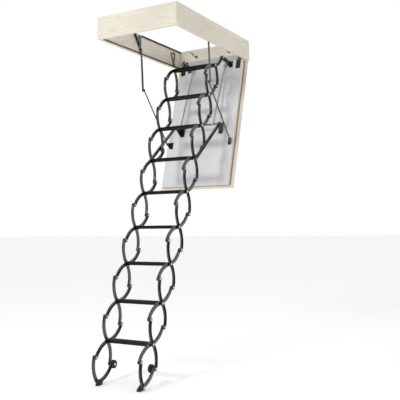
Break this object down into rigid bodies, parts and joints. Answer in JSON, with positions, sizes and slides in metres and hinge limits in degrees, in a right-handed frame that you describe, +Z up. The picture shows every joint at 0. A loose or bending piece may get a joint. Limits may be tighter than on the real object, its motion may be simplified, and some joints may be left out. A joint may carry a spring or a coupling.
{
  "type": "attic ladder",
  "caption": "Scissor attic ladder on a hinged insulated hatch, in a timber casing, drawn out with curved black channel arms, level treads, rollers and rubber feet.",
  "frame": {"origin": "centre of the casing's lower opening, at ceiling level", "axes": "+X across the opening, +Y along it towards the hinge end, +Z up"},
  "size_m": [0.704, 1.4893, 2.6786],
  "materials": {
    "pine_board": "planed",
    "zinc_steel": "zinc plated",
    "dark_seal": "matt",
    "grey_strip": "matt",
    "white_sheet": "satin lacquer",
    "outer_board": "satin lacquer",
    "foam": "matt",
    "black_steel": "satin powder coat",
    "grey_steel": "satin",
    "black_tread": "ribbed, satin",
    "black_rubber": "matt"
  },
  "bodies": {
    "casing": {"casing_board_left": "pine_board", "casing_board_right": "pine_board", "casing_board_hinge_end": "pine_board", "casing_board_latch_end": "pine_board", "casing_screws": "zinc_steel", "casing_seals": "dark_seal", "end_lining": "grey_strip", "hanger_brackets": "black_steel", "arm_brackets": "black_steel", "rest_hooks": "black_steel", "latch_strike": "zinc_steel", "hinge_fixed_leaves": "zinc_steel"},
    "hatch": {"hinge_moving_leaves": "zinc_steel", "hatch_frame": "pine_board", "hatch_core": "foam", "hatch_lining": "white_sheet", "hatch_lip": "outer_board", "hatch_gasket": "dark_seal", "ladder_brackets": "black_steel", "strut_brackets": "black_steel", "cross_shaft": "black_steel", "brace_tubes": "grey_steel", "arm_feet": "black_steel", "latch_case": "white_sheet"},
    "latch_bolt": {"latch_bolt": "zinc_steel"},
    "upper_arms": {"upper_arms": "black_steel"},
    "lower_rods": {"lower_rods": "black_steel"},
    "struts": {"struts": "black_steel"},
    "wheel_left": {"wheel_left": "black_rubber"},
    "wheel_right": {"wheel_right": "black_rubber"},
    "step_1": {"inner_arms_1": "black_steel", "tread_1": "black_tread"},
    "link_1": {"outer_arms_1": "black_steel"},
    "step_2": {"inner_arms_2": "black_steel", "tread_2": "black_tread"},
    "link_2": {"outer_arms_2": "black_steel"},
    "step_3": {"inner_arms_3": "black_steel", "tread_3": "black_tread"},
    "link_3": {"outer_arms_3": "black_steel"},
    "step_4": {"inner_arms_4": "black_steel", "tread_4": "black_tread"},
    "link_4": {"outer_arms_4": "black_steel"},
    "step_5": {"inner_arms_5": "black_steel", "tread_5": "black_tread"},
    "link_5": {"outer_arms_5": "black_steel"},
    "step_6": {"inner_arms_6": "black_steel", "tread_6": "black_tread"},
    "link_6": {"outer_arms_6": "black_steel"},
    "step_7": {"inner_arms_7": "black_steel", "tread_7": "black_tread"},
    "link_7": {"outer_arms_7": "black_steel"},
    "step_8": {"inner_arms_8": "black_steel", "tread_8": "black_tread"},
    "link_8": {"outer_arms_8": "black_steel"},
    "step_9": {"inner_arms_9": "black_steel", "tread_9": "black_tread"},
    "link_9": {"outer_arms_9": "black_steel"},
    "step_10": {"inner_arms_10": "black_steel", "rubber_feet": "black_rubber"},
    "link_10": {"outer_arms_10": "black_steel"}
  },
  "joints": [
    {"name": "hatch_closing", "type": "hinge", "parent": "casing", "child": "hatch", "pos_m": [0, 0.574, 0.012], "axis": [-1, 0, 0], "range_deg": [0, 46]},
    {"name": "ladder_fold", "type": "hinge", "parent": "hatch", "child": "step_1", "pos_m": [0, 0.3995, 0.00527], "axis": [-1, 0, 0], "range_deg": [0, 38.41]},
    {"name": "link_2_joint", "type": "hinge", "parent": "step_1", "child": "link_2", "pos_m": [0, 0.10693, -0.18339], "axis": [-1, 0, 0], "range_deg": [-103.12, 0.5]},
    {"name": "step_3_joint", "type": "hinge", "parent": "link_2", "child": "step_3", "pos_m": [0, 0.15649, -0.52797], "axis": [-1, 0, 0], "range_deg": [-0.5, 103.12]},
    {"name": "link_4_joint", "type": "hinge", "parent": "step_3", "child": "link_4", "pos_m": [0, -0.13608, -0.71662], "axis": [-1, 0, 0], "range_deg": [-103.12, 0.5]},
    {"name": "step_5_joint", "type": "hinge", "parent": "link_4", "child": "step_5", "pos_m": [0, -0.08651, -1.0612], "axis": [-1, 0, 0], "range_deg": [-0.5, 103.12]},
    {"name": "link_6_joint", "type": "hinge", "parent": "step_5", "child": "link_6", "pos_m": [0, -0.37909, -1.24986], "axis": [-1, 0, 0], "range_deg": [-103.12, 0.5]},
    {"name": "step_7_joint", "type": "hinge", "parent": "link_6", "child": "step_7", "pos_m": [0, -0.32953, -1.59444], "axis": [-1, 0, 0], "range_deg": [-0.5, 103.12]},
    {"name": "link_8_joint", "type": "hinge", "parent": "step_7", "child": "link_8", "pos_m": [0, -0.6221, -1.7831], "axis": [-1, 0, 0], "range_deg": [-103.12, 0.5]},
    {"name": "step_9_joint", "type": "hinge", "parent": "link_8", "child": "step_9", "pos_m": [0, -0.57254, -2.12768], "axis": [-1, 0, 0], "range_deg": [-0.5, 103.12]},
    {"name": "link_10_joint", "type": "hinge", "parent": "step_9", "child": "link_10", "pos_m": [0, -0.86511, -2.31634], "axis": [-1, 0, 0], "range_deg": [-103.12, 0.5]},
    {"name": "link_1_crossing", "type": "hinge", "parent": "step_1", "child": "link_1", "pos_m": [0, 0.25322, -0.08906], "axis": [-1, 0, 0], "range_deg": [-103.12, 0.5]},
    {"name": "step_2_crossing", "type": "hinge", "parent": "link_2", "child": "step_2", "pos_m": [0, 0.13171, -0.35568], "axis": [-1, 0, 0], "range_deg": [-0.5, 103.12]},
    {"name": "link_3_crossing", "type": "hinge", "parent": "step_3", "child": "link_3", "pos_m": [0, 0.01021, -0.6223], "axis": [-1, 0, 0], "range_deg": [-103.12, 0.5]},
    {"name": "step_4_crossing", "type": "hinge", "parent": "link_4", "child": "step_4", "pos_m": [0, -0.1113, -0.88891], "axis": [-1, 0, 0], "range_deg": [-0.5, 103.12]},
    {"name": "link_5_crossing", "type": "hinge", "parent": "step_5", "child": "link_5", "pos_m": [0, -0.2328, -1.15553], "axis": [-1, 0, 0], "range_deg": [-103.12, 0.5]},
    {"name": "step_6_crossing", "type": "hinge", "parent": "link_6", "child": "step_6", "pos_m": [0, -0.35431, -1.42215], "axis": [-1, 0, 0], "range_deg": [-0.5, 103.12]},
    {"name": "link_7_crossing", "type": "hinge", "parent": "step_7", "child": "link_7", "pos_m": [0, -0.47581, -1.68877], "axis": [-1, 0, 0], "range_deg": [-103.12, 0.5]},
    {"name": "step_8_crossing", "type": "hinge", "parent": "link_8", "child": "step_8", "pos_m": [0, -0.59732, -1.95539], "axis": [-1, 0, 0], "range_deg": [-0.5, 103.12]},
    {"name": "link_9_crossing", "type": "hinge", "parent": "step_9", "child": "link_9", "pos_m": [0, -0.71883, -2.22201], "axis": [-1, 0, 0], "range_deg": [-103.12, 0.5]},
    {"name": "step_10_crossing", "type": "hinge", "parent": "link_10", "child": "step_10", "pos_m": [0, -0.84033, -2.48862], "axis": [-1, 0, 0], "range_deg": [-0.5, 103.12]},
    {"name": "strut_swing", "type": "hinge", "parent": "hatch", "child": "struts", "pos_m": [0, 0.27742, -0.57681], "axis": [-1, 0, 0], "range_deg": [-0.5, 120.8]},
    {"name": "upper_arm_swing", "type": "hinge", "parent": "casing", "child": "upper_arms", "pos_m": [0, -0.072, 0.042], "axis": [-1, 0, 0], "range_deg": [-0.5, 121.25]},
    {"name": "lower_rod_swing", "type": "hinge", "parent": "hatch", "child": "lower_rods", "pos_m": [0, 0.2903, -0.71213], "axis": [-1, 0, 0], "range_deg": [-31.8, 0.5]},
    {"name": "wheel_left_spin", "type": "hinge", "parent": "step_10", "child": "wheel_left", "pos_m": [-0.16, -0.69404, -2.3943], "axis": [1, 0, 0], "continuous": true},
    {"name": "wheel_right_spin", "type": "hinge", "parent": "step_10", "child": "wheel_right", "pos_m": [0.16, -0.69404, -2.3943], "axis": [1, 0, 0], "continuous": true},
    {"name": "latch_slide", "type": "slide", "parent": "hatch", "child": "latch_bolt", "axis": [0, -0.2857, -0.9583], "range_m": [-0.012, 0], "stiffness_N_per_m": 300, "springref_m": 0.01}
  ],
  "couplings": [
    {"joint": "link_2_joint", "follows": "ladder_fold", "ratio": -2.6716},
    {"joint": "step_3_joint", "follows": "ladder_fold", "ratio": 2.6716},
    {"joint": "link_4_joint", "follows": "ladder_fold", "ratio": -2.6716},
    {"joint": "step_5_joint", "follows": "ladder_fold", "ratio": 2.6716},
    {"joint": "link_6_joint", "follows": "ladder_fold", "ratio": -2.6716},
    {"joint": "step_7_joint", "follows": "ladder_fold", "ratio": 2.6716},
    {"joint": "link_8_joint", "follows": "ladder_fold", "ratio": -2.6716},
    {"joint": "step_9_joint", "follows": "ladder_fold", "ratio": 2.6716},
    {"joint": "link_10_joint", "follows": "ladder_fold", "ratio": -2.6716},
    {"joint": "link_1_crossing", "follows": "ladder_fold", "ratio": -2.6716},
    {"joint": "step_2_crossing", "follows": "ladder_fold", "ratio": 2.6716},
    {"joint": "link_3_crossing", "follows": "ladder_fold", "ratio": -2.6716},
    {"joint": "step_4_crossing", "follows": "ladder_fold", "ratio": 2.6716},
    {"joint": "link_5_crossing", "follows": "ladder_fold", "ratio": -2.6716},
    {"joint": "step_6_crossing", "follows": "ladder_fold", "ratio": 2.6716},
    {"joint": "link_7_crossing", "follows": "ladder_fold", "ratio": -2.6716},
    {"joint": "step_8_crossing", "follows": "ladder_fold", "ratio": 2.6716},
    {"joint": "link_9_crossing", "follows": "ladder_fold", "ratio": -2.6716},
    {"joint": "step_10_crossing", "follows": "ladder_fold", "ratio": 2.6716},
    {"joint": "strut_swing", "follows": "ladder_fold", "ratio": 3.132},
    {"joint": "upper_arm_swing", "follows": "hatch_closing", "ratio": 2.6251},
    {"joint": "lower_rod_swing", "follows": "hatch_closing", "ratio": -0.68043}
  ]
}
